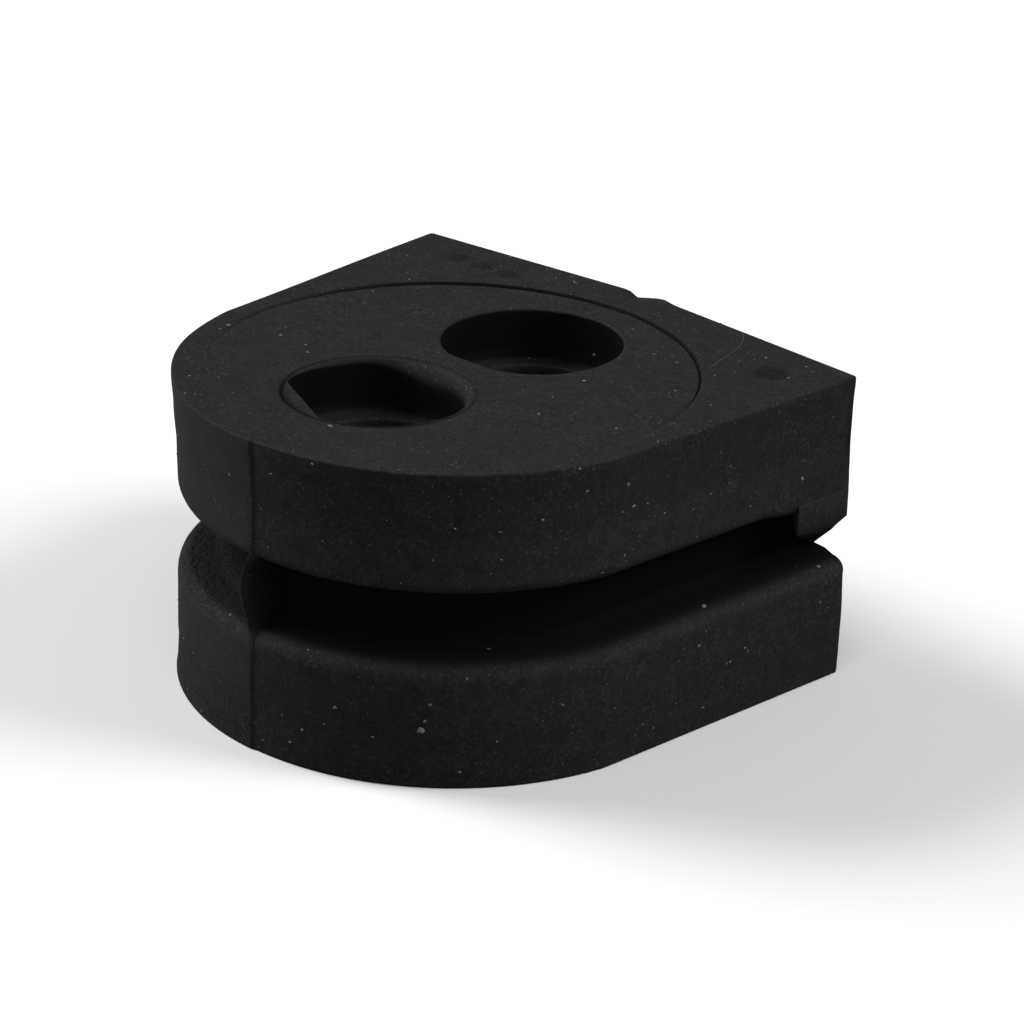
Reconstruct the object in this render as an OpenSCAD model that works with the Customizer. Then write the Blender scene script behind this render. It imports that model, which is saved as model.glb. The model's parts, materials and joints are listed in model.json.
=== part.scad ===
// Moulded rubber grommet with a flat back, a round nose and two stepped cable holes.
// +Z runs along the cable holes, +Y points to the flat back, the round nose points to -Y.
// The origin is under the middle of the body, on its bottom face.

/* [Outline] */
// Width across the two back corners
body_w = 20; // [17:0.1:24]
// Depth from the tip of the nose to the middle of the back
body_d = 19.6; // [17.5:0.1:23]
// Length of each straight side, measured from front to back
side_l = 11.3; // [9:0.1:12.5]
// Angle by which each straight side leans in towards the nose
side_taper = 4.2; // [0:0.1:7]
// Mould draft on each half of the back, away from the parting line
back_draft = 4.8; // [0:0.1:7]
// Radius on the two upright back corners
corner_r = 0.35; // [0.1:0.05:1]

/* [Flanges] */
// Height of the lower flange
lower_h = 4.4; // [3:0.1:7]
// Height of the upper flange
upper_h = 4.1; // [3.4:0.1:7]
// How far the top edge flares out past the upper flange's wall
flare_out = 0.12; // [0:0.01:0.3]
// Height of the flare below the top face
flare_h = 1.4; // [0.5:0.1:2]
// How far the lower flange bulges at mid height
belly_out = 0.08; // [0:0.01:0.3]
// Radius on the bottom edge
foot_r = 0.2; // [0.1:0.05:0.8]
// Radius on the top edge
top_edge_r = 0.1; // [0.05:0.01:0.3]

/* [Panel groove] */
// Height of the groove, for the wall it is pushed onto
groove_h = 2.6; // [1.5:0.1:4]
// Depth of the groove below the flange walls
groove_d = 1.5; // [0.8:0.1:2.2]
// Radius in the two inner corners of the groove
groove_fillet_r = 0.45; // [0.1:0.05:0.7]
// Radius on the two outer edges of the groove
groove_lip_r = 0.5; // [0.1:0.05:0.8]
// Length of the web that closes the groove at each back corner
web_l = 2.3; // [1:0.1:4]
// Height of the flush part of that web, under the upper flange
web_band_h = 1.05; // [0.6:0.05:1.3]

/* [Cable holes] */
// Distance between the two hole centres
hole_pitch = 7.5; // [7:0.1:9]
// How far the middle of the two holes lies behind the middle of the face disc
hole_shift = 0.2; // [-0.5:0.1:0.5]
// Radius of each hole below its mouth
hole_r = 2.5; // [1.5:0.05:2.8]
// Depth of the wider mouths
mouth_depth = 2; // [1:0.1:3.2]
// Radius of the back hole's mouth
back_mouth_r = 3.15; // [2.9:0.05:3.4]
// Radius on the edge of the back hole's mouth
back_rim_r = 0.2; // [0.05:0.05:0.4]
// Radius of the front hole's mouth
front_mouth_r = 2.95; // [2.85:0.05:3.1]
// Radius on the soft edge of the front hole's mouth
front_rim_r = 0.5; // [0.1:0.05:0.6]
// Radius on the lower edge of both holes
exit_rim_r = 0.2; // [0.05:0.05:0.5]
// Width by which the skin lip covers the front mouth
lip_w = 0.37; // [0.1:0.01:0.8]
// Thickness of the skin lip
lip_t = 0.5; // [0.3:0.05:0.9]
// Direction of the skin lip, seen from above
lip_angle = 243; // [200:1:300]

/* [Mould marks] */
// Radius of the face disc left by the round mould insert
disc_r = 8.4; // [7.8:0.1:8.6]
// Depth of the face disc below the rim around it
disc_depth = 0.1; // [0.03:0.01:0.2]
// How far the centre of the disc lies ahead of the middle of the body
disc_shift = 0.4; // [0:0.1:0.6]
// Width of the fine crease round the front mouth
crease_w = 0.1; // [0.05:0.01:0.2]
// Thickness of the flash fin that stands in the groove at the nose
flash_t = 0.1; // [0.06:0.01:0.2]
// Step on the nose where the two mould halves met, with the right half lower
parting_step = 0.05; // [0.02:0.01:0.1]
// Width of the torn gate scar on the back edge
gate_w = 1.9; // [1:0.1:3]
// Depth of the gate scar, down and forwards
gate_depth = 0.25; // [0.1:0.05:0.5]
// Radius of the plain dimple near the right back corner
dimple_r = 0.65; // [0.4:0.05:0.9]
// Depth of the plain dimple
dimple_depth = 0.06; // [0.03:0.01:0.15]
// Radius of each plain pip near the left back corner
pip_r = 0.22; // [0.1:0.01:0.35]
// Number of pips near the left back corner
pip_count = 3; // [1:1:5]

/* [Hidden] */
$fn = 128;
rubber = [0.11, 0.11, 0.115];
overlap = 0.2;

body_h = lower_h + groove_h + upper_h;
half_w = body_w / 2;
groove_top = lower_h + groove_h;
reach = 2 * body_w;
fillet_steps = 3;

nose_tip_y = -body_d / 2;
back_y = body_d / 2;
corner_y = back_y - half_w * tan(back_draft);
shoulder_y = corner_y - side_l;
shoulder_x = half_w - side_l * tan(side_taper);
nose_rise = shoulder_y - nose_tip_y;
nose_r = (shoulder_x * shoulder_x + nose_rise * nose_rise) / (2 * nose_rise);
nose_y = nose_tip_y + nose_r;
block_y = max(nose_y, shoulder_y);

disc_y = -disc_shift;
disc_z = body_h - disc_depth;
back_hole_y = disc_y + hole_shift + hole_pitch / 2;
front_hole_y = disc_y + hole_shift - hole_pitch / 2;
ledge_z = body_h - mouth_depth;

corner_angle = 90 + back_draft - side_taper;
corner_reach = corner_r / tan(corner_angle / 2);
corner_centre = corner_r / sin(corner_angle / 2);
corner_facing = 45 - (side_taper + back_draft) / 2;

web_lift = 0.3;
web_spread = 0.06;
fin_root = 0.4;
pip_gap = 1.2;
pip_h = 0.05;
pip_in = 2.6;
dimple_in = [2.2, 1.9];

// A square corner less its round, for taking an edge off a section.
module edge_off(r) {
    difference() {
        translate([-r, -r]) square(r + overlap);
        translate([-r, -r]) circle(r);
    }
}

// The groove's section, opening to +X from its floor at x = 0.
module groove_section() {
    corner = [for (i = [0 : fillet_steps]) let(a = 90 * i / fillet_steps)
        groove_fillet_r * [1 - cos(a), 1 - sin(a)]];
    polygon(concat(
        corner,
        [[groove_d + reach, 0], [groove_d + reach, groove_h]],
        [for (i = [fillet_steps : -1 : 0]) [corner[i][0], groove_h - corner[i][1]]]
    ));
}

// Upright section of the wall, from x = 0 out to the widest edge at x = size.
module wall_section(size) {
    wall = size - flare_out;
    belly_top = lower_h - groove_lip_r;
    difference() {
        polygon([
            [0, 0], [wall, 0],
            [wall, foot_r], [wall + belly_out, (foot_r + belly_top) / 2], [wall, belly_top],
            [wall, body_h - flare_h], [size, body_h - top_edge_r],
            [size, body_h], [0, body_h]
        ]);
        translate([wall - groove_d, lower_h]) groove_section();
        translate([wall, lower_h]) edge_off(groove_lip_r);
        translate([wall, groove_top]) mirror([0, 1]) edge_off(groove_lip_r);
        translate([wall, 0]) mirror([0, 1]) edge_off(foot_r);
        translate([size, body_h]) edge_off(top_edge_r);
    }
}

// Puts a section upright along the right-hand side, with x = 0 on the side's widest line.
module along_side(from_corner, length) {
    translate([half_w, corner_y, 0]) rotate([0, 0, -side_taper])
        translate([0, from_corner, 0]) rotate([90, 0, 0])
            linear_extrude(length) children();
}

// Everything to the left of the right-hand side wall.
module side_run() {
    along_side(reach, 2 * reach) translate([-reach, 0]) wall_section(reach);
}

// The round nose as the left mould half made it.
module nose_half() {
    intersection() {
        rotate_extrude() wall_section(nose_r);
        translate([-reach, -reach, 0]) cube([reach + overlap / 10, 2 * reach, body_h]);
    }
}

// The two halves of the nose, and the block that carries their width back to the straight sides.
module nose_and_block() {
    translate([0, nose_y, 0]) nose_half();
    translate([0, nose_y + parting_step, 0]) mirror([1, 0, 0]) nose_half();
    translate([-reach, block_y, 0]) cube([2 * reach, reach, body_h]);
}

// The web that closes the groove near the back: flush at first, then sloping in to the floor.
module corner_web() {
    wall = -flare_out + web_spread;
    floor_x = -flare_out - groove_d;
    along_side(reach / 4, reach / 4 + web_l) polygon([
        [floor_x - overlap, groove_top + web_lift], [-flare_out, groove_top + web_lift + groove_lip_r],
        [wall, groove_top], [wall, groove_top - web_band_h],
        [floor_x, lower_h], [floor_x - overlap, lower_h]
    ]);
}

// The two drafted halves of the back, meeting at the parting line.
module back_clip() {
    fall = reach * tan(back_draft);
    linear_extrude(body_h) polygon([
        [-reach, -reach], [reach, -reach], [reach, back_y - fall], [0, back_y], [-reach, back_y - fall]
    ]);
}

// Rounds the right-hand back corner.
module corner_cutter() {
    translate([half_w, corner_y, -overlap]) rotate([0, 0, corner_facing]) linear_extrude(body_h + 2 * overlap)
        difference() {
            polygon([
                [overlap, 0],
                [-corner_reach * cos(corner_angle / 2), corner_reach * sin(corner_angle / 2) + overlap],
                [-corner_centre, 0],
                [-corner_reach * cos(corner_angle / 2), -corner_reach * sin(corner_angle / 2) - overlap]
            ]);
            translate([-corner_centre, 0]) circle(corner_r);
        }
}

// One stepped cable hole, cut down through the whole height.
module cable_hole(y, mouth_r, rim_r) {
    translate([0, y, 0]) rotate_extrude() {
        translate([0, -overlap]) square([hole_r, body_h + overlap]);
        translate([0, ledge_z]) square([mouth_r, mouth_depth + overlap]);
        translate([mouth_r, disc_z]) mirror([1, 0]) edge_off(rim_r);
        translate([hole_r, 0]) mirror([1, 0]) mirror([0, 1]) edge_off(exit_rim_r);
    }
}

// Thin skin of rubber left across one side of the front mouth.
module skin_lip() {
    intersection() {
        translate([0, front_hole_y, disc_z - lip_t]) cylinder(h = lip_t, r = front_mouth_r + front_rim_r);
        translate([0, front_hole_y, 0]) rotate([0, 0, lip_angle])
            translate([front_mouth_r - lip_w, -reach, 0]) cube([reach, 2 * reach, body_h]);
    }
}

// Fine crease left round the front mouth by its core pin.
module crease() {
    r = front_mouth_r + front_rim_r;
    translate([0, front_hole_y, disc_z]) rotate_extrude()
        polygon([[r - crease_w / 2, overlap], [r, -crease_w], [r + crease_w / 2, overlap]]);
}

// Flash fin in the groove, on the parting line at the nose.
module flash_fin() {
    translate([-flash_t, nose_tip_y, lower_h - groove_lip_r])
        cube([flash_t, flare_out + groove_d + fin_root, groove_h + 2 * groove_lip_r]);
}

// Scar of the torn gate on the top edge, at the middle of the back.
module gate_scar() {
    r = (gate_w * gate_w / 4 + gate_depth * gate_depth) / (2 * gate_depth);
    translate([gate_w / 2, back_y, body_h + r - gate_depth]) rotate([90, 0, 0])
        cylinder(h = 2 * gate_depth, r = r, center = true);
}

// Plain pips at the left corner.
module pips() {
    for (i = [0 : pip_count - 1])
        translate([pip_in + i * pip_gap - half_w, corner_y - pip_in / 2, body_h - pip_h])
            cylinder(h = 2 * pip_h, r = pip_r);
}

// Shallow dimple at the right corner.
module dimple() {
    r = (dimple_r * dimple_r + dimple_depth * dimple_depth) / (2 * dimple_depth);
    translate([half_w - dimple_in[0], corner_y - dimple_in[1], body_h + r - dimple_depth]) sphere(r);
}

// The body with its outline, flanges and groove, before any hole or mark.
module blank() {
    difference() {
        intersection() {
            back_clip();
            union() {
                intersection() {
                    side_run();
                    mirror([1, 0, 0]) side_run();
                    nose_and_block();
                }
                corner_web();
                mirror([1, 0, 0]) corner_web();
            }
        }
        corner_cutter();
        mirror([1, 0, 0]) corner_cutter();
    }
}

module grommet_body() {
    color(rubber) {
        difference() {
            union() {
                blank();
                flash_fin();
            }
            translate([0, disc_y, disc_z]) cylinder(h = disc_depth + overlap, r = disc_r);
            cable_hole(back_hole_y, back_mouth_r, back_rim_r);
            cable_hole(front_hole_y, front_mouth_r, front_rim_r);
            crease();
            gate_scar();
            dimple();
        }
        skin_lip();
        pips();
    }
}

grommet_body();
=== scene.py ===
# %% [markdown]
# # A moulded rubber grommet
# The real thing is one small piece of black rubber, pressed in a two-part mould. A panel's
# edge sits in the groove round its nose, and two cables run through its stepped holes.
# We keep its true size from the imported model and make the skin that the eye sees: soft
# lips, a flash fin, a torn gate, a sunk face disc, fine grain and a little workshop dust.

# %% Load the fixed model
import json
import math
import random

import bmesh
import bpy
import numpy as np
from mathutils import Matrix, Vector
from mathutils.geometry import delaunay_2d_cdt


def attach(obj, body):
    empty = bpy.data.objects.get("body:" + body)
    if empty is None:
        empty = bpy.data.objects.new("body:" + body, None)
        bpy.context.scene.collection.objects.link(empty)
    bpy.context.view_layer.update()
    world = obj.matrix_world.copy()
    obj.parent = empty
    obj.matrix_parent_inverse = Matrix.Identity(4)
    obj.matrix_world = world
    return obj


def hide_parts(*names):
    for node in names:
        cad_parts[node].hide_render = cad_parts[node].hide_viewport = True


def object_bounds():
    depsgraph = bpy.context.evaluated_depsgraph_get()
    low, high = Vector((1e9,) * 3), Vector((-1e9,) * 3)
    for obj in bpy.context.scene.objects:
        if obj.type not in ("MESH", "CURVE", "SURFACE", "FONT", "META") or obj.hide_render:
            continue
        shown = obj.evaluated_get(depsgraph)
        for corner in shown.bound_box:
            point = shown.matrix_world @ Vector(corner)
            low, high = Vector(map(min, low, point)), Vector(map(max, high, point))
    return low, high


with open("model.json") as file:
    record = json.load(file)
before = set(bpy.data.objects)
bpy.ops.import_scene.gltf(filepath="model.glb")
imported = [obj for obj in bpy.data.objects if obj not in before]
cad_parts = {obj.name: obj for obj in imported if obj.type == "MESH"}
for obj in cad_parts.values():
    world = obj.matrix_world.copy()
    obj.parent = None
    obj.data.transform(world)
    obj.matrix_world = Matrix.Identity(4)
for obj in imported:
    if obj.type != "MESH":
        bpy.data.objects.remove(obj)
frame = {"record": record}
cad_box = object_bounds()
scene = bpy.context.scene
MM = 0.001
print("model box in mm", [round(v / MM, 2) for corner in cad_box for v in corner])

# %% [markdown]
# ## Sizes
# Everything is worked out in millimetres and turned into metres when a mesh is made. The
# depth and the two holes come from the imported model, so the skin cannot drift away from it.

# %% Sizes in millimetres
SKIN_SCALE = 0.992
SKIN = SKIN_SCALE * MM
BODY_D = (cad_box[1].y - cad_box[0].y) / MM
HALF_W = 10.0
SIDE_TAPER, SHOULDER_TURN, BACK_DRAFT = 4.2, 8.5, 4.8
SHOULDER_R, CORNER_R = 2.5, 0.16
LOWER_H, GROOVE_H, UPPER_H = 4.4, 2.6, 4.1
GROOVE_TOP = LOWER_H + GROOVE_H
BODY_H = GROOVE_TOP + UPPER_H
FOOT_R, TOP_R = 0.09, 0.07
GROOVE_D, FILLET_R = 1.5, 0.45
LEDGE_Z, CEILING_Z, LEDGE_FALL = LOWER_H + 0.06, GROOVE_TOP - 0.14, 0.15
LIP_R, TOP_LIP_R = 0.6, 0.45
WEB_L, WEB_BAND_H, WEB_PROUD = 2.65, 1.05, 0.05
PARTING_STEP, FIN_T, FIN_BOW = 0.06, 0.08, 0.62

mounts = {m["name"]: m for m in frame["record"]["mounts"]}
BORE_R = mounts["back_hole"]["dims"]["r_mm"] / SKIN_SCALE
BACK_HOLE_Y = mounts["back_hole"]["pos_m"][1] / SKIN
FRONT_HOLE_Y = mounts["front_hole"]["pos_m"][1] / SKIN
DISC_R, DISC_Y, DISC_DEPTH = 8.4, -0.4, 0.1
print("depth", round(BODY_D, 2), "height", BODY_H, "holes at y", BACK_HOLE_Y, FRONT_HOLE_Y)

# %% [markdown]
# ## The outline as a path
# A grommet like this is drawn as a path seen from above, with one wall section carried
# round it. The path is a nose arc, a soft shoulder, a straight side and a tight corner on
# each hand. We make the right hand and mirror it. Each station on the path stores where it
# is, which way the wall faces there, and what happens to the panel groove.

# %% Path helpers
def facing(angle):
    return np.array([math.cos(math.radians(angle)), math.sin(math.radians(angle))])


def smooth(t):
    t = np.clip(t, 0.0, 1.0)
    return t * t * (3 - 2 * t)


class Station:
    """One place on the outline: the groove is open, closed by a web, or filled by the flash fin."""

    def __init__(self, point, angle, side=None, turn=0.0, web=0.0, lift=0.0, fin=0.0, flange_x=None,
                 sag=0.0):
        self.point, self.angle = np.array(point), angle
        self.side = angle if side is None else side
        self.turn, self.web, self.lift = turn, web, lift
        self.fin, self.flange_x, self.sag = fin, flange_x, sag

    def mirrored(self):
        flange_x = None if self.flange_x is None else -self.flange_x
        return Station((-self.point[0], self.point[1]), 180 - self.angle, 180 - self.side,
                       self.turn, self.web, self.lift, self.fin, flange_x, self.sag)


def arc_stations(centre, radius, start, stop, step):
    count = max(2, round(abs(math.radians(stop - start)) * radius / step))
    angles = [start + (stop - start) * i / count for i in range(count)]
    return [Station(centre + radius * facing(a), a) for a in angles]


# %% Where the nose, shoulder and side meet
back_y = BODY_D / 2
corner = np.array([HALF_W, back_y - HALF_W * math.tan(math.radians(BACK_DRAFT))])
nose_angle = SIDE_TAPER + SHOULDER_TURN
out_side, out_nose = facing(-SIDE_TAPER), facing(-nose_angle)
along_side = np.array([-out_side[1], out_side[0]])
lean = (1 - math.sin(math.radians(nose_angle))) / math.cos(math.radians(nose_angle))
turn_xy = SHOULDER_R * (out_nose - out_side)
side_l = ((corner[1] + back_y + turn_xy[1] - lean * (HALF_W + turn_xy[0]))
          / (along_side[1] - lean * along_side[0]))
shoulder_at = corner - side_l * along_side - SHOULDER_R * out_side
nose_r = SHOULDER_R + shoulder_at[0] / out_nose[0]
nose_at = np.array([0.0, nose_r - back_y])
print("nose radius", round(nose_r, 3), "straight side", round(side_l, 2))

# %% [markdown]
# ### Stations
# Walls need a station every 0.2 mm or so. Two places need more care. At the tip the two
# mould halves met, so a fin of flash stands in the groove on a dozen close stations. At
# the back corners the groove is closed by a web whose end is cut square across the path.

# %% Stations from the tip to the back corner
STEP = 0.17
TIP_X = [(0.01, 1.0), (0.03, 0.7), (0.05, 0.2), (0.075, 0.0), (0.11, 0.0), (0.16, 0.0), (0.22, 0.0)]
right = [Station(nose_at + nose_r * facing(-90), -90, fin=fin, flange_x=x) for x, fin in TIP_X]
first = math.degrees(0.3 / nose_r)
right += arc_stations(nose_at, nose_r, -90 + first, -nose_angle, STEP)
right += arc_stations(shoulder_at, SHOULDER_R, -nose_angle, -SIDE_TAPER, STEP)
side_start = corner - side_l * along_side
open_l = side_l - WEB_L
SAG, SAG_L = 0.22, 1.8
for i in range(round(open_l / STEP)):
    at = i * open_l / round(open_l / STEP)
    right.append(Station(side_start + along_side * at, -SIDE_TAPER, sag=smooth(1 - (open_l - at) / SAG_L)))
for gap, web in ((0.0, 0.0), (0.015, 0.0), (0.03, 1.0), (0.1, 1.0), (0.2, 1.0)):
    right.append(Station(side_start + along_side * (open_l + gap), -SIDE_TAPER, web=web,
                         lift=1 - gap / WEB_L, sag=1 - web))

out_back = facing(90 - BACK_DRAFT)
corner_at = corner - CORNER_R * (out_side + out_back) / (1 + out_side @ out_back)
bend_from = (corner_at + CORNER_R * out_side - side_start) @ along_side
for i in range(1, 12):
    at = open_l + 0.2 + (bend_from - open_l - 0.2) * i / 12
    right.append(Station(side_start + along_side * at, -SIDE_TAPER, web=1.0,
                         lift=(side_l - at) / WEB_L))
CORNER_STEPS = 9
for i in range(CORNER_STEPS + 1):
    t = max(i, 0.01) / CORNER_STEPS
    angle = -SIDE_TAPER + t * (90 - BACK_DRAFT + SIDE_TAPER)
    right.append(Station(corner_at + CORNER_R * facing(angle), angle, -SIDE_TAPER, t, 1.0))

left = [s.mirrored() for s in reversed(right)]
wall_path = left + right
print("stations from back corner to back corner:", len(wall_path))

# %% [markdown]
# ## The wall section
# One list of rows describes the wall from the bottom face to the top face. For each row we
# keep the depth below the outline, the extra depth of the groove, and the height. The same
# row has a second place for the web and a third for the fin, so a station only has to mix.

# %% Rows of the wall section
rows = []


def row(edge, groove, z, part):
    rows.append((edge, groove, z, part))


def quarter(count, first_row=0):
    return [math.radians(90 * i / count) for i in range(first_row, count + 1)]


for rim in (0.12, 0.05):
    row(FOOT_R + rim, 0, 0, "foot")
for a in quarter(5):
    row(FOOT_R * (1 - math.sin(a)), 0, FOOT_R * (1 - math.cos(a)), "foot")
wall_low, wall_high = FOOT_R, LEDGE_Z - LEDGE_FALL - LIP_R
for i in range(24):
    t = (i + 0.25) / 24
    row(0, 0, wall_low + (wall_high - wall_low) * t, "lower")
for a in quarter(9):
    row(0, LIP_R * (1 - math.cos(a)), wall_high + LIP_R * math.sin(a), "lip")
for t in (0.25, 0.6, 0.9):
    row(0, LIP_R + (GROOVE_D - FILLET_R - LIP_R) * t, LEDGE_Z - LEDGE_FALL * (1 - t), "lip")
for a in quarter(6):
    row(0, GROOVE_D - FILLET_R * (1 - math.sin(a)), LEDGE_Z + FILLET_R * (1 - math.cos(a)), "floor")
for i in range(1, 9):
    row(0, GROOVE_D, LEDGE_Z + FILLET_R + (CEILING_Z - LEDGE_Z - 2 * FILLET_R) * i / 9, "floor")
for a in reversed(quarter(6)):
    row(0, GROOVE_D - FILLET_R * (1 - math.sin(a)), CEILING_Z - FILLET_R * (1 - math.cos(a)), "ceiling")
for t in (0.9, 0.6, 0.25):
    row(0, TOP_LIP_R + (GROOVE_D - FILLET_R - TOP_LIP_R) * t, CEILING_Z, "ceiling")
for a in reversed(quarter(9)):
    row(0, TOP_LIP_R * (1 - math.cos(a)), CEILING_Z + TOP_LIP_R * (1 - math.sin(a)), "top_lip")
wall_low, wall_high = CEILING_Z + TOP_LIP_R, BODY_H - TOP_R
for i in range(24):
    t = (i + 0.75) / 24
    row(0, 0, wall_low + (wall_high - wall_low) * t, "upper")
for a in quarter(4):
    row(TOP_R * (1 - math.cos(a)), 0, BODY_H - TOP_R * (1 - math.sin(a)), "top")
for rim in (0.05, 0.2):
    row(TOP_R + rim, 0, BODY_H, "top")

edge, groove, height = (np.array([r[i] for r in rows], float) for i in range(3))
part = np.array([r[3] for r in rows])
print("rows in the wall section:", len(rows))

# %% The same rows on the web and on the fin
ceiling = np.flatnonzero(part == "ceiling")
hang = np.flatnonzero(part == "top_lip")
fillet = np.flatnonzero(part == "floor")[:7]
pocket_rows = np.flatnonzero(np.isin(part, ("floor", "ceiling")))
ACROSS = np.array([0.35, 0.7, 1.0])


def web_rows(lift):
    """Groove depth and height of each row where the web hangs; lift is 0 at the corner, 1 at its front end."""
    web_groove, web_z = groove.copy(), height.copy()
    deep = (GROOVE_D - 0.04) * (1 - lift) + 0.02
    foot = WEB_BAND_H + (GROOVE_TOP - LEDGE_Z - WEB_BAND_H) * deep / GROOVE_D
    web_groove[ceiling] = np.maximum(groove[ceiling], deep + 0.01)
    web_groove[ceiling[-3:]] = max(GROOVE_D - FILLET_R, deep + 0.01) * (1 - ACROSS) + deep * ACROSS
    web_groove[fillet] = GROOVE_D - (GROOVE_D - groove[fillet]) * (0.15 + 0.85 * lift)
    pocket = 0.06 + 0.94 * smooth(lift / 0.25)
    web_z[pocket_rows] = LEDGE_Z + (height[pocket_rows] - LEDGE_Z) * pocket
    web_z[fillet] = LEDGE_Z + (height[fillet] - LEDGE_Z) * min(pocket, 0.15 + 0.85 * lift)
    path = [(deep, 0.2), (deep, 0.1 + foot * 0.5), (deep, foot - 0.02),
            (deep * 0.5, foot * 0.5 + WEB_BAND_H * 0.5), (-WEB_PROUD, WEB_BAND_H - 0.05),
            (-WEB_PROUD, WEB_BAND_H * 0.5), (-WEB_PROUD, 0.05), (-WEB_PROUD * 0.7, 0.0), (0.0, -0.02),
            (0.0, GROOVE_TOP - height[hang[-1]])]
    web_groove[hang] = [p[0] for p in path]
    web_z[hang] = [GROOVE_TOP - p[1] for p in path]
    squeezed = LEDGE_Z + (web_z[hang[:2]] - LEDGE_Z) * pocket - 0.02
    web_z[hang[:2]] = np.maximum(squeezed, web_z[hang[2]] + np.array([0.006, 0.003]))
    web_z[ceiling[-3:]] -= (0.004, 0.008, 0.012)
    return web_groove, web_z


sagging = np.isin(part, ("ceiling", "top_lip")).astype(float)
inner = np.flatnonzero(np.isin(part, ("lip", "floor", "ceiling", "top_lip")))
fin_groove, fin_z, fin_t = groove.copy(), height.copy(), np.zeros(len(rows))
fin_t[inner] = np.linspace(0, 1, len(inner))
fin_groove[inner] = 0.12 * np.sin(math.pi * fin_t[inner]) ** 0.5
fin_z[inner] = height[inner[0]] + (height[inner[-1]] - height[inner[0]]) * fin_t[inner]

# %% [markdown]
# ### How the walls really run
# Rubber never leaves the mould quite straight. The top edge flares out, the wall under it
# draws in, and the lower flange swells a little. On the left a witness line from an insert
# steps across the lower flange. These depths are read off the silhouette on each hand.

# %% Depth of the walls below the widest edge
LEFT_WALL = [(0.0, 0.04), (0.5, 0.1), (1.55, 0.14), (1.68, 0.11), (3.0, 0.12), (4.0, 0.12),
             (7.0, 0.15), (8.4, 0.12), (10.0, 0.02), (11.0, -0.05)]
RIGHT_WALL = [(0.0, 0.02), (1.0, -0.02), (2.4, -0.05), (4.0, 0.02), (6.2, -0.03),
              (7.0, 0.0), (7.8, 0.06), (8.8, 0.15), (9.9, 0.1), (11.0, 0.0)]


def eased(z, knots):
    """Runs smoothly through a few named depths, level at each of them."""
    zs, depths = np.array(knots).T
    k = np.clip(np.searchsorted(zs, z) - 1, 0, len(zs) - 2)
    return depths[k] + (depths[k + 1] - depths[k]) * smooth((z - zs[k]) / (zs[k + 1] - zs[k]))


left_depth, right_depth = eased(height, LEFT_WALL), eased(height, RIGHT_WALL)


def wall_depth(station):
    """Depth of every row's wall below the outline, with the parting step at the nose."""
    x = station.point[0] if station.flange_x is None else station.flange_x
    side = smooth((x + 7) / 14)
    depth = left_depth * (1 - side) + right_depth * side
    step = PARTING_STEP * smooth(x / 0.2) * math.exp(-(x / 4) ** 2) if x > 0 else 0.0
    valley = 0.03 * math.exp(-((x - 0.12) / 0.07) ** 2) * smooth((height - 6) / 4)
    y = station.point[1]
    pulled_in = 0.1 * smooth((-x - 5) / 3) * smooth((7 - y) / 8) * smooth((y + 6) / 3)
    return (depth + pulled_in) * (1 - station.turn) + step + valley


# %% [markdown]
# ## Placing the rows
# On the walls a row moves straight in from the outline. On the rounded back corners the
# groove has to run out through the flat back, so its depth is measured from the side, not
# from the corner's own round. The fin's rows also bow to the left, as soft flash does.

# %% Turn one station into points
def place(station):
    depth = edge + wall_depth(station)
    web_groove, web_z = web_rows(station.lift)
    g = groove + (web_groove - groove) * station.web
    z = height + (web_z - height) * station.web
    g = g + (fin_groove - g) * station.fin
    z = z + (fin_z - z) * station.fin
    z = z - SAG * station.sag * sagging
    out = facing(station.angle)
    xy = station.point - np.outer(depth, out)
    if station.turn == 0:
        xy = xy - np.outer(g, out)
    else:
        side = facing(station.side)
        back = np.array([math.copysign(out_back[0], station.point[0]), out_back[1]])
        over = np.maximum(depth - CORNER_R + 0.03, 0)
        xy += np.outer(over, out - (side + back) / (1 + side @ back))
        sunk = CORNER_R * (1 - out @ side)
        inward = np.maximum(depth + g - sunk, 0)
        cut = g > 0.02
        xy[cut] = station.point - np.outer(inward[cut], side)
    # Painted shade: the deeper a row lies in the groove, the darker its colour is painted and the less it shines; the
    # left groove gets a third less, where light reaches in.
    shelter = smooth((g + 0.05) / 0.85) * (1 - 0.3 * smooth(-station.point[0] / 2))
    if station.flange_x is not None:
        inside = np.sin(math.pi * np.clip(fin_t, 0, 1)) ** 0.3
        fin_x = math.copysign(FIN_T / 2, station.flange_x)
        bow = FIN_BOW * np.sin(math.pi * fin_t ** 1.15) * (0.25 + 0.75 * station.fin)
        xy[:, 0] = station.flange_x * (1 - inside) + (fin_x - bow * station.fin) * inside
    return np.column_stack([xy, z]), shelter


# %% [markdown]
# ## A small mesh book-keeper
# The skin is one closed mesh, so every patch has to share its border points with its
# neighbours. The class below hands out point numbers, joins rows of them with quads, and
# fills a flat patch between closed loops with well-shaped triangles.

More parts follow.
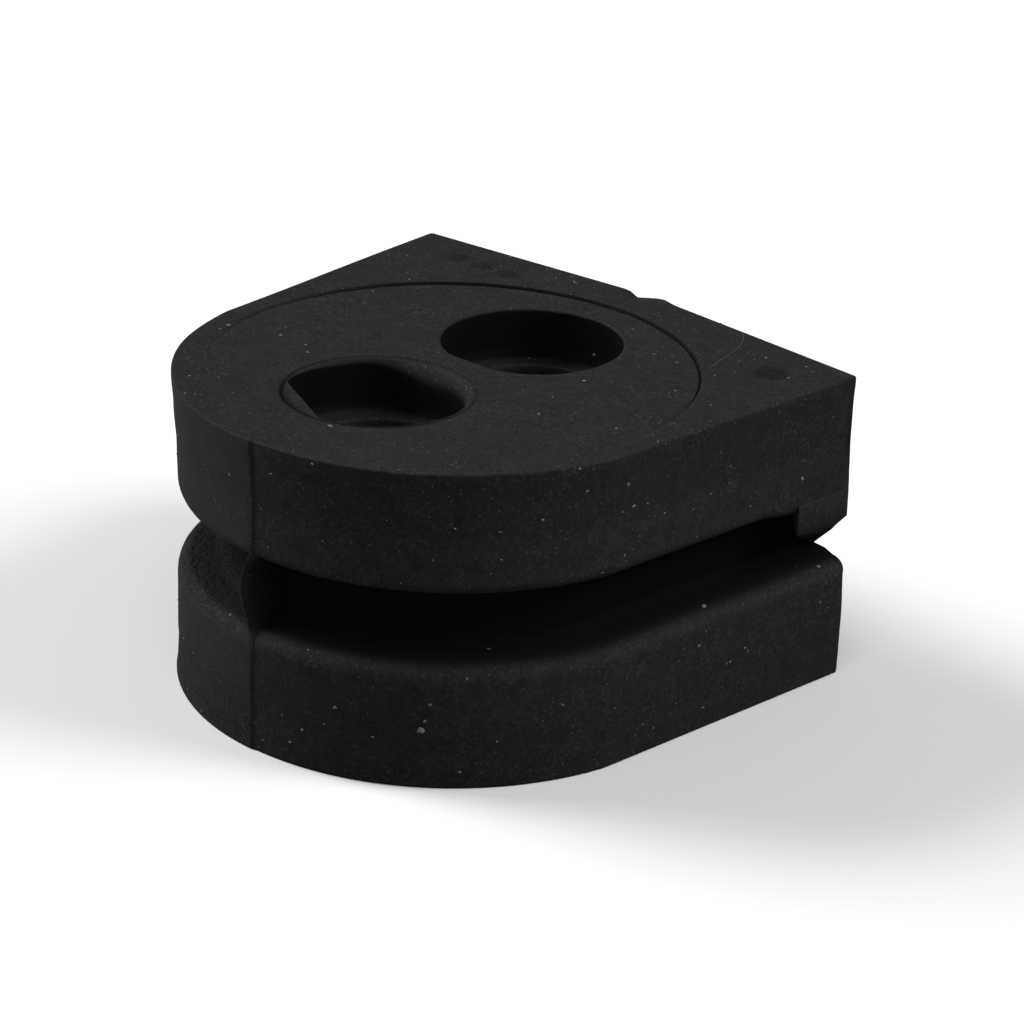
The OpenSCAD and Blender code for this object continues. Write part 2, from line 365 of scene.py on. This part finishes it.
# %% Skin builder
class Skin:
    def __init__(self):
        # Per point the skin keeps one shade value: how much painted shade darkens the colour there, which also keeps
        # dust off.
        self.points, self.shelter, self.faces = [], [], []

    def add(self, points, shelter=0.0):
        start = len(self.points)
        self.points.extend(np.asarray(points, float).tolist())
        self.shelter.extend(np.broadcast_to(shelter, len(points)).tolist())
        return list(range(start, len(self.points)))

    def join(self, a, b, closed=False):
        count = len(a)
        for i in range(count if closed else count - 1):
            j = (i + 1) % count
            self.faces.append((a[i], a[j], b[j], b[i]))

    def fill(self, loops, rings, spacing, flat, lift, keep, shade=lambda u, v: 0.0):
        """Triangulates between loops of known points. flat gives 2D places, lift gives 3D ones."""
        known = [index for loop in loops for index in loop]
        plan = [flat(np.array(self.points[index])) for index in known]
        edges, start = [], 0
        for loop in loops:
            edges += [(start + i, start + (i + 1) % len(loop)) for i in range(len(loop))]
            start += len(loop)
        for ring, closed in rings:
            size = len(ring)
            edges += [(start + i, start + (i + 1) % size) for i in range(size if closed else size - 1)]
            plan += [np.array(p) for p in ring]
            start += size
        lines = np.array(plan)
        low, high = lines.min(0), lines.max(0)
        grid = [(x + spacing / 2 * (j % 2), y)
                for j, y in enumerate(np.arange(low[1], high[1], spacing * 0.87))
                for x in np.arange(low[0], high[0], spacing)]
        for p in grid:
            if keep(*p) and np.min(np.sum((lines - p) ** 2, axis=1)) > (0.6 * spacing) ** 2:
                plan.append(np.array(p))
        result = delaunay_2d_cdt([Vector(p) for p in plan], edges, [], 1, 1e-7)
        numbers = []
        for place_2d, origin in zip(result[0], result[3]):
            old = [i for i in origin if i < len(known)]
            numbers.append(known[old[0]] if old else self.add([lift(*place_2d)], shade(*place_2d))[0])
        for face in result[2]:
            middle = sum((result[0][i] for i in face), Vector((0, 0))) / len(face)
            if keep(*middle):
                self.faces.append(tuple(numbers[i] for i in face))


skin = Skin()

# %% [markdown]
# ## Walls
# The stations between the two back corners carry the whole section. Across the flat back
# only the rounded foot and the rounded top edge run on; the flat between them is a patch.

# %% Build the walls
columns = [skin.add(*place(station)) for station in wall_path]
for a, b in zip(columns, columns[1:]):
    skin.join(a, b)

foot_end = int(np.flatnonzero(part == "foot")[-1])
top_start = int(np.flatnonzero(part == "top")[0])
back_x = corner_at[0] + CORNER_R * out_back[0]
GATE_FROM, GATE_TO = -0.5, 2.2
coarse = [x for x in np.arange(-back_x + 0.25, back_x - 0.1, 0.25) if not GATE_FROM - 0.1 < x < GATE_TO + 0.1]
fine = [round(x, 3) for x in np.arange(GATE_FROM, GATE_TO, 0.06) if abs(x) > 0.03]
back_xs = sorted(coarse + fine + [0.0])


def back_line(x):
    return back_y - abs(x) * math.tan(math.radians(BACK_DRAFT))


def scar(x):
    """How far the torn gate has pulled the top back edge down, in mm."""
    dent = 0.14 * smooth((x + 0.95) / 0.35) * smooth((0.45 - x) / 0.9)
    curl = 0.045 * math.exp(-((x - 0.75) / 0.3) ** 2)
    return dent * (1 + 0.1 * math.sin(9 * x)) - curl


def back_column(x, numbers):
    out = facing(90 - BACK_DRAFT if x > 0 else 90 + BACK_DRAFT)
    if x == 0:
        out = np.array([0.0, 1.0])
    torn = scar(x)
    points = []
    for i in numbers:
        xy = np.array([x, back_line(x)]) - edge[i] * out
        drop = torn if i >= top_start else 0.0
        points.append((xy[0], xy[1] - 0.5 * drop * (i == numbers[-1] or edge[i] < TOP_R), height[i] - drop))
    return skin.add(points)


foot_rows = list(range(foot_end + 1))
top_rows = list(range(top_start, len(rows)))
foot_columns = [columns[0][:foot_end + 1]] + [back_column(x, foot_rows) for x in back_xs] + [columns[-1][:foot_end + 1]]
top_columns = [columns[0][top_start:]] + [back_column(x, top_rows) for x in back_xs] + [columns[-1][top_start:]]
for group in (foot_columns, top_columns):
    for a, b in zip(group, group[1:]):
        skin.join(a, b)
print("points in the walls:", len(skin.points))

# %% The flat back, split along the parting line
back_loop = ([c[-1] for c in foot_columns] + columns[-1][foot_end + 1:top_start]
             + [c[0] for c in reversed(top_columns)] + columns[0][foot_end + 1:top_start][::-1])
back_plan = np.array([[skin.points[i][0], skin.points[i][2]] for i in back_loop])


def in_loop(x, y, loop):
    x0, y0 = loop[:, 0], loop[:, 1]
    x1, y1 = np.roll(x0, -1), np.roll(y0, -1)
    crossing = ((y0 > y) != (y1 > y)) & (x < (x1 - x0) * (y - y0) / np.where(y1 == y0, 1, y1 - y0) + x0)
    return bool(np.count_nonzero(crossing) % 2)


fold = [(0.0, z) for z in np.arange(0.5, BODY_H - 0.4, 0.3)]
skin.fill([back_loop], [(fold, False)], 0.45, lambda p: p[[0, 2]],
          lambda x, z: (x, back_line(x), z), lambda x, z: in_loop(x, z, back_plan))

# %% [markdown]
# ## The stepped holes
# Each hole is a stack of rings, widest at the mouth. The back mouth is almost round, with
# one flat where the thin wall between the holes bulges. The front mouth has a wide soft
# rim on one side and a thin skin of rubber left across the other.

# %% Mouth shapes
RING = 144
ANGLES = np.arange(RING) * 360 / RING
LIP_ANGLE, LIP_AT, LIP_T = 244.0, 2.64, 0.5


def toward(angle, width):
    """One in a given direction round a hole, falling smoothly to zero past a width in degrees."""
    away = np.abs((ANGLES - angle + 180) % 360 - 180)
    return smooth(1.5 - away / width)


def chord(angle, distance):
    c = np.cos(np.radians(ANGLES - angle))
    return np.where(c > 0.2, distance / np.maximum(c, 0.2), 99.0)


def stack(rings):
    """Joins rings of (radius, height, centre, painted shade) from the face down; the painted shade also keeps dust off.
    """
    numbers = []
    for radius, z, centre, shelter in rings:
        x = centre[0] + radius * np.cos(np.radians(ANGLES))
        y = centre[1] + radius * np.sin(np.radians(ANGLES))
        numbers.append(skin.add(np.column_stack([x, y, z + 0 * ANGLES]), shelter))
    for a, b in zip(numbers, numbers[1:]):
        skin.join(a, b, closed=True)
    return numbers


# %% Heights of the top face
PIPS = [(x, 7.66) for x in (-7.4, -6.2, -5.0)]
DIMPLE = (7.8, 7.06)


def top_z(x, y):
    """Height of the top face at a place: the sunk disc, slow waves, the three pips and the dimple."""
    r = math.hypot(x, y - DISC_Y)
    far = smooth((y + 6) / 9)
    depth = DISC_DEPTH * (0.1 + 0.9 * far)
    wave = 0.006 * math.sin(1.1 * x + 0.7) * math.sin(0.9 * y) + 0.004 * math.sin(2.3 * x - 1.7 * y)
    inside = smooth((DISC_R - r) / 0.035)
    crease = 0.05 * far * math.exp(-((r - DISC_R + 0.035) / 0.035) ** 2)
    z = BODY_H - depth * inside - crease + wave * (1 - smooth((r - DISC_R - 0.02) / 0.5))
    for pip in PIPS:
        z += 0.045 * smooth((0.26 - math.dist(pip, (x, y))) / 0.1)
    return z - 0.09 * smooth((0.68 - math.dist(DIMPLE, (x, y))) / 0.25)


def top_shelter(x, y):
    """How much painted shade darkens the face, which also keeps dust off: in the disc's step, the dimple and round the
    pips.
    """
    r = math.hypot(x, y - DISC_Y)
    step = smooth((y + 4) / 9) * math.exp(-((r - DISC_R + 0.035) / 0.035) ** 2)
    dimple = 0.55 * smooth((0.75 - math.dist(DIMPLE, (x, y))) / 0.3)
    pips = max(0.5 * smooth((0.42 - math.dist(pip, (x, y))) / 0.1) for pip in PIPS)
    return max(step, dimple, pips)


# %% Rings of both holes
def on_circle(centre, radius):
    """Height of the face at every angle on a ring."""
    return np.array([top_z(centre[0] + r * math.cos(a), centre[1] + r * math.sin(a))
                     for r, a in zip(radius + 0 * ANGLES, np.radians(ANGLES))])


def rim_rings(centre, outer, wall, rim, fall, face):
    """The face up to the mouth, then the mouth's rounded rim, painted darker as it falls into the hole."""
    rings = [(outer + (wall + rim - outer) * t, face, centre, 0.0) for t in (0.5, 0.92)]
    for a in quarter(7):
        drop = fall * (1 - math.cos(a))
        rings.append((wall + rim * (1 - math.sin(a)), face - drop, centre, smooth((drop - 0.35 * fall) / (0.4 * fall)) * 0.95))
    return rings


def lower_rings(mouth, bore, wall, ledge_z):
    """The ledge, the straight bore and the rounded exit under a mouth, with painted shade: darkest down the bore, faint
    on the ledge, half at the exit.
    """
    soft, turn, exit_r = 0.12, 0.1, 0.2
    rings = []
    for a in quarter(4):
        rings.append((wall - soft * (1 - math.cos(a)), ledge_z + soft * (1 - math.sin(a)), mouth, 0.8 - 0.6 * smooth(1 - math.cos(a))))
    rings.append((BORE_R + 0.4, ledge_z, bore, LEDGE_SHADE))
    rings.append((BORE_R + 0.25, ledge_z, bore, LEDGE_SHADE))
    for a in quarter(4):
        rings.append((BORE_R + turn * (1 - math.sin(a)), ledge_z - turn * (1 - math.cos(a)), bore, LEDGE_SHADE))
    for t in np.linspace(0.06, 0.98, 14):
        rings.append((BORE_R, (ledge_z - turn) * (1 - t) + exit_r * t, bore, 1.0))
    for a in quarter(5):
        rings.append((BORE_R + exit_r * (1 - math.cos(a)), exit_r * (1 - math.sin(a)), bore, 0.5))
    rings.append((BORE_R + exit_r + 0.08, 0.0, bore, 0.0))
    return rings


# LEDGE_SHADE is the faint painted shade on the hole ledges.
LEDGE_SHADE = 0.05
back_mouth = back_bore = (0.0, BACK_HOLE_Y)
back_wall = np.minimum(3.15, chord(270, 2.98))
back_rim = 0.09 + 0.04 * toward(100, 70)
back_out = back_wall + back_rim + 0.07
face = on_circle(back_mouth, back_out)
back_rings = [(back_out, face, back_mouth, 0.0)] + rim_rings(back_mouth, back_out, back_wall, back_rim, back_rim, face)
back_rings += [(back_wall, face - depth, back_mouth, 1.0) for depth in (0.5, 0.9, 1.3)]
back_rings += lower_rings(back_mouth, back_bore, back_wall, BODY_H - 1.96)

front_bore, front_mouth = (0.0, FRONT_HOLE_Y), (-0.2, FRONT_HOLE_Y + 0.3)
FRONT_R, FRONT_OUT = 3.22, 3.34
bevel = 0.8 * toward(68, 52) + 0.25 * toward(130, 55)
front_wall = FRONT_R - 0.07 - 0.42 * bevel
lip_edge = chord(LIP_ANGLE, LIP_AT)
lipped = lip_edge < front_wall
opening = np.minimum(front_wall, lip_edge)
rim = np.where(lipped, 0.05, 0.06 + 0.42 * bevel)
fall = np.where(lipped, 0.05, 0.06 + 0.8 * bevel)
# On the near side of the front mouth the rings carry painted shade, a dark crease round the mouth.
near = toward(285, 75)
face = on_circle(front_mouth, FRONT_OUT)
front_rings = [(FRONT_OUT, face, front_mouth, 0.2 * near),
               (FRONT_R + 0.06 + 0.03 * near, face - 0.02 * near, front_mouth, 0.2 + 0.7 * near),
               (FRONT_R + 0.02, face - 0.04 - 0.08 * near, front_mouth, 0.5 + 0.5 * near),
               (FRONT_R - 0.02 - 0.02 * near, face - 0.03 - 0.04 * near, front_mouth, 0.3 + 0.6 * near)]
front_rings += rim_rings(front_mouth, FRONT_R - 0.05, opening, np.minimum(rim, FRONT_R - 0.07 - opening), fall, face - 0.02)
under = face - 0.02 - np.maximum(LIP_T, fall + 0.03)
front_rings += [(opening, (face + under - fall) / 2, front_mouth, 1.0), (opening, under, front_mouth, 1.0),
                (opening * 0.4 + front_wall * 0.6, under - 0.01, front_mouth, 1.0)]
front_rings += [(front_wall, face - depth, front_mouth, 1.0) for depth in (1.0, 1.2, 1.4)]
front_rings += lower_rings(front_mouth, front_bore, front_wall, BODY_H - 1.9)

back_numbers, front_numbers = stack(back_rings), stack(front_rings)
print("points with both holes:", len(skin.points))

# %% [markdown]
# ## Top and bottom faces
# The top face is a patch between the outline and the two mouths. Two close rings carry the
# step of the face disc, which is the round insert that stamped this face.

# %% Fill the top and the bottom
def circle(radius, centre, count):
    turns = [2 * math.pi * i / count for i in range(count)]
    return [(centre[0] + radius * math.cos(a), centre[1] + radius * math.sin(a)) for a in turns]


def radius_at(values, x, y, centre_y):
    turn = math.degrees(math.atan2(y - centre_y, x)) % 360
    return np.interp(turn, np.append(ANGLES, 360), np.append(values, values[0]))


top_loop = [c[-1] for c in columns] + [c[-1] for c in reversed(top_columns[1:-1])]
top_plan = np.array([skin.points[i][:2] for i in top_loop])
mouth_r = back_rings[0][0]


def on_top(x, y):
    return (in_loop(x, y, top_plan)
            and math.hypot(x, y - BACK_HOLE_Y) > radius_at(mouth_r, x, y, BACK_HOLE_Y) - 0.001
            and math.dist(front_mouth, (x, y)) > FRONT_OUT - 0.001)


face_rings = [(circle(DISC_R + gap, (0, DISC_Y), 360), True) for gap in (0.04, 0.0, -0.035, -0.07, -0.11)]
face_rings += [(circle(r, pip, 14), True) for pip in PIPS for r in (0.29, 0.22, 0.15)]
face_rings += [(circle(r, DIMPLE, 30), True) for r in (0.72, 0.6, 0.48, 0.38)]
skin.fill([top_loop, back_numbers[0], front_numbers[0]], face_rings, 0.3, lambda p: p[:2],
          lambda x, y: (x, y, top_z(x, y)), on_top, top_shelter)

bottom_loop = [c[0] for c in columns] + [c[0] for c in reversed(foot_columns[1:-1])]
bottom_plan = np.array([skin.points[i][:2] for i in bottom_loop])
exit_out = back_rings[-1][0]


def on_bottom(x, y):
    return (in_loop(x, y, bottom_plan) and math.hypot(x, y - BACK_HOLE_Y) > exit_out - 0.001
            and math.hypot(x, y - FRONT_HOLE_Y) > exit_out - 0.001)


skin.fill([bottom_loop, back_numbers[-1], front_numbers[-1]], [], 0.8, lambda p: p[:2],
          lambda x, y: (x, y, 0.0), on_bottom)
print("points:", len(skin.points), "faces:", len(skin.faces))

# %% Make the body from the skin
def make_object(name, points, faces, material):
    mesh = bpy.data.meshes.new(name)
    mesh.from_pydata([Vector(p) * SKIN for p in points], [], faces)
    bm = bmesh.new()
    bm.from_mesh(mesh)
    bmesh.ops.recalc_face_normals(bm, faces=bm.faces)
    open_edges = sum(1 for e in bm.edges if len(e.link_faces) != 2)
    bm.to_mesh(mesh)
    bm.free()
    mesh.materials.append(material)
    mesh.shade_smooth()
    obj = bpy.data.objects.new(name, mesh)
    scene.collection.objects.link(obj)
    print(name, len(points), "points,", open_edges, "open edges")
    return obj


def linear(code):
    """Turns an sRGB hex colour into the linear values that shaders use."""
    channels = [int(code[i:i + 2], 16) / 255 for i in (1, 3, 5)]
    return [c / 12.92 if c <= 0.04045 else ((c + 0.055) / 1.055) ** 2.4 for c in channels] + [1.0]


def add(tree, kind, inputs=(), **settings):
    """Adds a shader node; inputs pairs a socket's name or number with a value or another socket."""
    node = tree.nodes.new(kind)
    for name, value in settings.items():
        setattr(node, name, value)
    for name, value in dict(inputs).items():
        if isinstance(value, bpy.types.NodeSocket):
            tree.links.new(value, node.inputs[name])
        else:
            node.inputs[name].default_value = value
    return node


def new_material(name, colour, roughness, specular):
    material = bpy.data.materials.new(name)
    material.use_nodes = True
    shader = material.node_tree.nodes["Principled BSDF"]
    shader.inputs["Base Color"].default_value = linear(colour)
    shader.inputs["Roughness"].default_value = roughness
    shader.inputs["Specular IOR Level"].default_value = specular
    return material, material.node_tree, shader


def band(tree, value, low, high):
    """0 below low and 1 above high, or the other way round when low is the larger."""
    return add(tree, "ShaderNodeMapRange", {0: value, 1: low, 2: high}, interpolation_type="SMOOTHSTEP").outputs[0]


def product(tree, *values):
    result = values[0]
    for value in values[1:]:
        result = add(tree, "ShaderNodeMath", {0: result, 1: value}, operation="MULTIPLY").outputs[0]
    return result


def noise(tree, where, per_mm, detail, roughness=0.5):
    return add(tree, "ShaderNodeTexNoise", {"Vector": where, "Scale": per_mm, "Detail": detail,
                                            "Roughness": roughness}).outputs[0]


def mixed(tree, share, low, high):
    node = add(tree, "ShaderNodeMix", {0: share}, data_type="RGBA")
    for socket, colour in ((node.inputs[6], low), (node.inputs[7], high)):
        if isinstance(colour, bpy.types.NodeSocket):
            tree.links.new(colour, socket)
        else:
            socket.default_value = linear(colour)
    return node.outputs[2]


# %% Moulded black rubber
# The third of these colours is painted shade, which grooves, bores, creases and the top face are darkened toward.
RUBBER, BLOOM, PAINTED_SHADE, DUST = "#222222", "#292A29", "#131415", "#8C8A86"
rubber, tree, shader = new_material("moulded_black_rubber", RUBBER, 0.7, 0.15)
place_m = add(tree, "ShaderNodeTexCoord").outputs["Object"]
mm = add(tree, "ShaderNodeVectorMath", {0: place_m, 1: (1000, 1000, 1000)}, operation="MULTIPLY").outputs[0]
x, y, z = add(tree, "ShaderNodeSeparateXYZ", {0: mm}).outputs
facing_up = add(tree, "ShaderNodeSeparateXYZ", {0: add(tree, "ShaderNodeNewGeometry").outputs["Normal"]}).outputs[2]
# This attribute carries the painted shade per point; where it lies, dust is kept off too.
shelter = add(tree, "ShaderNodeAttribute", attribute_name="shelter").outputs["Fac"]

mottle = noise(tree, mm, 1.6, 8, 0.65)
grain = noise(tree, mm, 7, 5, 0.7)
# The lower side walls left of the parting line are drawn lighter: partly a paler finish on that mould half, partly
# painted light from the left.
left_paler_and_painted_light = product(tree, band(tree, x, 0.02, -0.06), band(tree, facing_up, 0.5, 0.3), band(tree, z, 0.4, 2.8))
colour = mixed(tree, band(tree, mottle, 0.3, 0.75), RUBBER, BLOOM)
salted = add(tree, "ShaderNodeMapRange", {0: noise(tree, mm, 0.7, 3), 1: 0.35, 2: 0.65, 3: 0.4, 4: 0.85}).outputs[0]
colour = mixed(tree, product(tree, band(tree, grain, 0.48, 0.75), salted), colour, "#414140")
colour = mixed(tree, product(tree, band(tree, grain, 0.48, 0.3), salted, 0.7), colour, "#181818")
# Painted light and paler finish on the left lower walls.
colour = mixed(tree, product(tree, left_paler_and_painted_light, 0.6), colour, "#313130")
# Painted shade: faces that look up are darkened a little toward the shade colour, so the top face is less bright beside
# the walls.
colour = mixed(tree, product(tree, band(tree, facing_up, 0.85, 0.97), 0.17), colour, PAINTED_SHADE)
# Painted shade: grooves, bores and creases darkened toward the shade colour.
colour = mixed(tree, shelter, colour, PAINTED_SHADE)

cells = add(tree, "ShaderNodeTexVoronoi", {"Vector": mm, "Scale": 8.0, "Randomness": 1.0})
picked = add(tree, "ShaderNodeSeparateXYZ", {0: cells.outputs["Color"]}).outputs
dot = band(tree, cells.outputs["Distance"], 0.3, 0.12)
rare = band(tree, picked[0], 0.72, 0.76)
patchy = band(tree, noise(tree, mm, 0.45, 2), 0.4, 0.62)
open_air = add(tree, "ShaderNodeMath", {0: 1.0, 1: shelter}, operation="SUBTRACT").outputs[0]
speck = product(tree, dot, rare, picked[1], patchy, open_air, 0.45)
colour = mixed(tree, speck, colour, DUST)
tree.links.new(colour, shader.inputs["Base Color"])
# Painted shade also takes the shine off where it lies.
shine_less_in_painted_shade = add(tree, "ShaderNodeMapRange", {0: shelter, 3: 0.09, 4: 0.0}).outputs[0]
tree.links.new(shine_less_in_painted_shade, shader.inputs["Specular IOR Level"])

height_fine = add(tree, "ShaderNodeMath", {0: grain, 1: mottle}, operation="ADD").outputs[0]
fine = add(tree, "ShaderNodeBump", {"Strength": 0.35, "Distance": 0.00002, "Height": height_fine})
wrinkled = product(tree, band(tree, x, -1.0, -4.5), band(tree, y, 6.0, 4.5), band(tree, z, 3.6, 4.3), band(tree, z, 7.2, 6.6))
stretched = add(tree, "ShaderNodeVectorMath", {0: mm, 1: (1, 1, 2.2)}, operation="MULTIPLY").outputs[0]
folds = add(tree, "ShaderNodeTexVoronoi", {"Vector": stretched, "Scale": 2.4}, feature="DISTANCE_TO_EDGE").outputs[0]
folds = product(tree, band(tree, folds, 0.0, 0.22), wrinkled)
leather = add(tree, "ShaderNodeBump", {"Strength": 0.9, "Distance": 0.00005, "Height": folds,
                                       "Normal": fine.outputs[0]})
tree.links.new(leather.outputs[0], shader.inputs["Normal"])
body = make_object("moulded_grommet", skin.points, skin.faces, rubber)
# Stores the per-point painted shade on the mesh.
body.data.attributes.new("shelter", "FLOAT", "POINT").data.foreach_set("value", skin.shelter)
body.data.set_sharp_from_angle(angle=math.radians(50))
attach(body, "root")
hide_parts("grommet_body")

# %% [markdown]
# ## Camera
# The picture was taken with a long lens from the front right, a little above the part.

# %% Camera
LENS, SENSOR = 130.0, 36.0
AZIMUTH, ELEVATION, ROLL, DISTANCE = 42.319, 23.48, 1.651, 124.32
TARGET = np.array([0.0, -3.93, 5.55])
SLIDE = (-4.566, -1.165)
az, el, roll = (math.radians(v) for v in (AZIMUTH, ELEVATION, ROLL))
back = np.array([math.sin(az) * math.cos(el), -math.cos(az) * math.cos(el), math.sin(el)])
level = np.array([math.cos(az), math.sin(az), 0])
upright = np.cross(back, level)
cam_right = math.cos(roll) * level + math.sin(roll) * upright
cam_up = math.cos(roll) * upright - math.sin(roll) * level
place_cam = TARGET + DISTANCE * back - SLIDE[0] * cam_right - SLIDE[1] * cam_up
camera = bpy.data.objects.new("camera", bpy.data.cameras.new("camera"))
camera.data.lens, camera.data.sensor_width = LENS, SENSOR
camera.data.sensor_fit = "HORIZONTAL"
camera.data.clip_start, camera.data.clip_end = 0.001, 10
turn = Matrix([[cam_right[i], cam_up[i], back[i]] for i in range(3)]).to_4x4()
camera.matrix_world = Matrix.Translation(Vector(place_cam) * SKIN) @ turn
scene.collection.objects.link(camera)
scene.camera = camera

# %% Floor, world and lamps
FLOOR_SIZE = 4.0
floor_mesh = bpy.data.meshes.new("floor")
h = FLOOR_SIZE / 2
floor_mesh.from_pydata([(-h, -h, 0), (h, -h, 0), (h, h, 0), (-h, h, 0)], [], [(0, 1, 2, 3)])
floor = bpy.data.objects.new("floor", floor_mesh)
scene.collection.objects.link(floor)
paper, tree, sheet = new_material("white_paper", "#FFFFFF", 1.0, 0.0)
seen = add(tree, "ShaderNodeLightPath")
tree.links.new(mixed(tree, seen.outputs["Is Camera Ray"], "#909090", "#FFFFFF"), sheet.inputs["Base Color"])
floor_mesh.materials.append(paper)

AMBIENT = 0.16
world = bpy.data.worlds.new("studio")
scene.world = world
world.use_nodes = True
tree = world.node_tree
seen = add(tree, "ShaderNodeLightPath").outputs
power = add(tree, "ShaderNodeMapRange", {0: seen["Is Camera Ray"], 3: AMBIENT, 4: 1.0})
background = tree.nodes["Background"]
background.inputs["Color"].default_value = (1, 1, 1, 1)
tree.links.new(power.outputs[0], background.inputs["Strength"])


# %% Lamps
def lamp(name, turn, height, size, share):
    """A soft lamp a metre away. turn is degrees right of the camera, share is of a full white's light."""
    data = bpy.data.lights.new(name, "AREA")
    data.shape, data.size = "DISK", size
    data.energy = share * math.pi ** 2
    side, up = math.radians(AZIMUTH + turn), math.radians(height)
    away = Vector((math.sin(side) * math.cos(up), -math.cos(side) * math.cos(up), math.sin(up)))
    obj = bpy.data.objects.new(name, data)
    obj.location = away
    obj.rotation_euler = away.to_track_quat("Z", "Y").to_euler()
    scene.collection.objects.link(obj)


lamp("lamp_front", -10, 62, 0.6, 0.15)
lamp("lamp_left", -112, 36, 0.5, 0.85)
lamp("lamp_right", 82, 40, 0.5, 0.58)

# %% [markdown]
# ## Workshop dust
# Black rubber shows every speck. Most of the dust is a seeded scatter of tiny flat chips.
# The few larger ones, and a fine hair, sit where the photograph shows them: we follow the
# sight line from the camera through that place until it meets the rubber.

# %% Where the larger specks lie, in pixels of the 1024 px picture, with their size in mm
PICTURE_PX = 1024
LARGE_SPECKS = [(422, 731, 0.4), (818, 566, 0.2), (703, 606, 0.28), (330, 426, 0.24), (634, 506, 0.2),
                (594, 355, 0.16), (489, 649, 0.2), (335, 707, 0.18), (802, 479, 0.2), (500, 532, 0.16),
                (459, 772, 0.16), (556, 278, 0.16), (654, 354, 0.14), (281, 335, 0.16), (648, 504, 0.16),
                (306, 345, 0.14), (779, 412, 0.13), (665, 513, 0.15), (810, 540, 0.12), (625, 555, 0.12)]
BROWN_FLECK = (228, 325, 0.2)
HAIR = [(744, 333), (743, 341), (738, 348), (729, 355), (718, 362), (709, 368)]
DUST_COUNT, DUST_SEED = 1100, 7


def sight(px, py):
    """Point and outward normal in skin mm where the camera sees the rubber at a picture point."""
    across = (px - PICTURE_PX / 2) / PICTURE_PX * SENSOR / LENS
    upward = (PICTURE_PX / 2 - py) / PICTURE_PX * SENSOR / LENS
    ray = Vector(cam_right * across + cam_up * upward - back).normalized()
    hit, point, normal, _ = body.ray_cast(Vector(place_cam) * SKIN, ray)
    return np.array(point) / SKIN, np.array(normal)


CHIP_FACES = [(0, 1, 5), (1, 2, 5), (2, 3, 5), (3, 4, 5), (4, 0, 5), (1, 0, 6), (2, 1, 6), (3, 2, 6), (4, 3, 6), (0, 4, 6)]


def chip(point, normal, size, dice):
    """A flat five-sided crumb lying on the surface, half sunk into it, some of them long and thin."""
    side = np.cross(normal, (dice.uniform(-1, 1), dice.uniform(-1, 1), 0.8))
    side /= np.linalg.norm(side)
    other = np.cross(normal, side) * dice.choice((1, 0.9, 0.6, 0.35))
    ring = []
    for i in range(5):
        a = (i + dice.uniform(-0.4, 0.4)) * 2 * math.pi / 5
        reach = size * dice.uniform(0.25, 0.65)
        ring.append(point + reach * (math.cos(a) * side + math.sin(a) * other))
    return ring + [point + 0.2 * size * normal, point - 0.15 * size * normal]


def crumbs(name, chips, material):
    points = np.clip(np.concatenate(chips), box_low, box_high)
    faces = [tuple(7 * n + i for i in face) for n in range(len(chips)) for face in CHIP_FACES]
    obj = make_object(name, points, faces, material)
    obj.data.shade_flat()
    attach(obj, "root")


box_low, box_high = np.array(cad_box[0]) / SKIN + 0.002, np.array(cad_box[1]) / SKIN - 0.002
dice = random.Random(DUST_SEED)
chips = [chip(*sight(px, py), size, dice) for px, py, size in LARGE_SPECKS]
sizes = [p.area for p in body.data.polygons]
for face in dice.choices(body.data.polygons, weights=sizes, k=DUST_COUNT):
    middle, normal = np.array(face.center) / SKIN, np.array(face.normal)
    open_air = 1 - skin.shelter[face.vertices[0]]
    if middle[2] > 0.05 and dice.random() < open_air:
        chips.append(chip(middle, normal, 0.03 + 0.13 * dice.random() ** 3, dice))
dust = new_material("pale_dust", "#747471", 0.9, 0.2)[0]
crumbs("dust_chips", chips, dust)
brown = new_material("brown_fleck", "#8A7C70", 0.9, 0.2)[0]
crumbs("brown_fleck", [chip(*sight(*BROWN_FLECK[:2]), BROWN_FLECK[2], dice)], brown)
print("dust chips:", len(chips))

# %% A fine hair on the top face
HAIR_R = 0.008


def hair_points(path, sides=6):
    rings = []
    for i, p in enumerate(path):
        along = path[min(i + 1, len(path) - 1)] - path[max(i - 1, 0)]
        along /= np.linalg.norm(along)
        level = np.cross(along, (0, 0, 1))
        above = np.cross(level, along)
        rings.append([p + HAIR_R * (math.cos(a) * level + math.sin(a) * above)
                      for a in np.linspace(0, 2 * math.pi, sides, endpoint=False)])
    return rings


path = [sight(*p)[0] + (0, 0, HAIR_R * 0.8) for p in HAIR]
path = [a + (b - a) * t for a, b in zip(path, path[1:]) for t in (0, 0.5)] + [path[-1]]
rings = hair_points(path)
sides = len(rings[0])
faces = [(i * sides + j, i * sides + (j + 1) % sides, (i + 1) * sides + (j + 1) % sides, (i + 1) * sides + j)
         for i in range(len(rings) - 1) for j in range(sides)]
faces += [tuple(range(sides)), tuple(range((len(rings) - 1) * sides, len(rings) * sides))]
hair = make_object("fine_hair", [p for ring in rings for p in ring], faces,
                   new_material("pale_hair", "#5E5D59", 0.6, 0.4)[0])
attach(hair, "root")

scene.view_settings.view_transform = "Standard"
